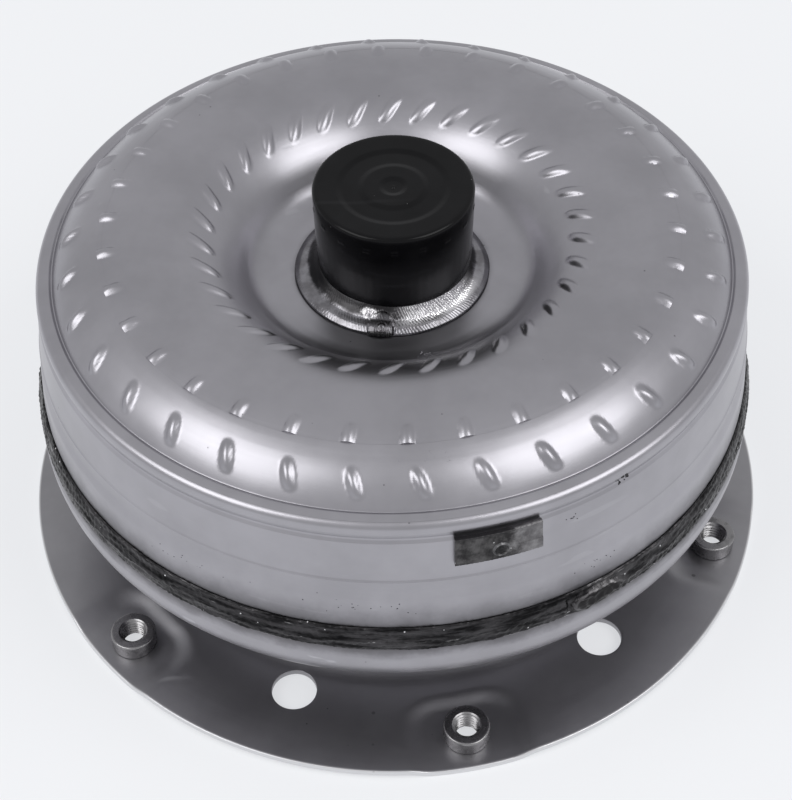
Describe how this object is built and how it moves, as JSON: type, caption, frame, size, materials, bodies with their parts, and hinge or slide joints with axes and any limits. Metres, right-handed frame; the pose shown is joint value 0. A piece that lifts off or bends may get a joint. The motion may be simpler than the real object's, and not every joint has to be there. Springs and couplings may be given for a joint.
{
  "type": "torque converter",
  "caption": "Round welded steel fluid coupling with a dimpled shell, capped hub, dished drive plate with threaded bosses, and a turbine, stator and lock-up clutch inside.",
  "frame": {"origin": "on the converter's axis, in the plane of the engine-side faces of the drive pads that it stands on", "axes": "+Z along the axis from the engine side towards the transmission hub; +X to the right and +Y away in the front view"},
  "size_m": [0.2948, 0.2948, 0.155],
  "materials": {
    "drive_plate": "satin",
    "boss_steel": "satin",
    "burnt_weld": "satin",
    "cover_steel": "satin",
    "shell_steel": "satin",
    "hub_weld": "gloss",
    "ground_hub": "gloss",
    "cap_plastic": "gloss",
    "blade_steel": "satin",
    "forged_steel": "satin",
    "spring_steel": "satin",
    "lining_paper": "matt",
    "stator_aluminium": "satin",
    "seal_plastic": "matt"
  },
  "bodies": {
    "housing": {"drive_plate": "drive_plate", "drive_boss_1": "boss_steel", "drive_boss_2": "boss_steel", "drive_boss_3": "boss_steel", "drive_boss_4": "boss_steel", "drive_boss_5": "boss_steel", "drive_boss_6": "boss_steel", "drive_plate_weld": "burnt_weld", "front_cover": "cover_steel", "pilot_spigot": "forged_steel", "seam_weld": "burnt_weld", "impeller_shell": "shell_steel", "impeller_blades": "blade_steel", "impeller_hub": "ground_hub", "hub_weld": "hub_weld", "balance_weight": "burnt_weld", "cover_bearing_lower_race": "ground_hub", "impeller_bearing_upper_race": "ground_hub"},
    "cap": {"hub_cap": "cap_plastic"},
    "turbine": {"turbine_shell": "blade_steel", "turbine_blades": "blade_steel", "turbine_hub": "forged_steel", "piston_seal_ring": "seal_plastic", "damper_driven_plate": "blade_steel", "cover_bearing_upper_race": "ground_hub", "turbine_rivet_1": "forged_steel", "turbine_rivet_2": "forged_steel", "turbine_rivet_3": "forged_steel", "turbine_rivet_4": "forged_steel", "turbine_rivet_5": "forged_steel", "turbine_rivet_6": "forged_steel", "damper_spring_1": "spring_steel", "damper_spring_2": "spring_steel", "damper_spring_3": "spring_steel", "damper_spring_4": "spring_steel", "damper_spring_5": "spring_steel", "damper_spring_6": "spring_steel"},
    "damper": {"damper_spring_retainer": "spring_steel"},
    "piston": {"lockup_piston": "forged_steel", "friction_lining": "lining_paper"},
    "stator": {"stator_wheel": "stator_aluminium", "clutch_cam_race": "forged_steel", "clutch_snap_ring": "spring_steel", "turbine_thrust_washer": "seal_plastic", "impeller_bearing_lower_race": "ground_hub", "clutch_roller_1": "ground_hub", "clutch_roller_2": "ground_hub", "clutch_roller_3": "ground_hub", "clutch_roller_4": "ground_hub", "clutch_roller_5": "ground_hub", "clutch_roller_6": "ground_hub", "clutch_roller_7": "ground_hub", "clutch_roller_8": "ground_hub"},
    "inner_race": {"clutch_inner_race": "forged_steel"},
    "cover_bearing": {"cover_bearing_cage": "ground_hub"},
    "impeller_bearing": {"impeller_bearing_cage": "ground_hub"}
  },
  "joints": [
    {"name": "cap_pull", "type": "slide", "parent": "housing", "child": "cap", "axis": [0, 0, 1], "range_m": [0, 0.045]},
    {"name": "turbine_spin", "type": "hinge", "parent": "housing", "child": "turbine", "pos_m": [0, 0, 0.1], "axis": [0, 0, 1], "continuous": true},
    {"name": "damper_twist", "type": "hinge", "parent": "turbine", "child": "damper", "pos_m": [0, 0, 0.062], "axis": [0, 0, 1], "range_deg": [0, 8], "deforming": ["damper_spring_1", "damper_spring_2", "damper_spring_3", "damper_spring_4", "damper_spring_5", "damper_spring_6"]},
    {"name": "piston_travel", "type": "slide", "parent": "damper", "child": "piston", "axis": [0, 0, 1], "range_m": [0, 0.001]},
    {"name": "stator_spin", "type": "hinge", "parent": "housing", "child": "stator", "pos_m": [0, 0, 0.1], "axis": [0, 0, 1], "continuous": true},
    {"name": "inner_race_spin", "type": "hinge", "parent": "housing", "child": "inner_race", "pos_m": [0, 0, 0.1], "axis": [0, 0, 1], "continuous": true},
    {"name": "cover_bearing_spin", "type": "hinge", "parent": "housing", "child": "cover_bearing", "pos_m": [0, 0, 0.028], "axis": [0, 0, 1], "continuous": true},
    {"name": "impeller_bearing_spin", "type": "hinge", "parent": "housing", "child": "impeller_bearing", "pos_m": [0, 0, 0.109], "axis": [0, 0, 1], "continuous": true}
  ],
  "couplings": [
    {"joint": "cover_bearing_spin", "follows": "turbine_spin", "ratio": 0.5},
    {"joint": "impeller_bearing_spin", "follows": "stator_spin", "ratio": 0.5}
  ]
}
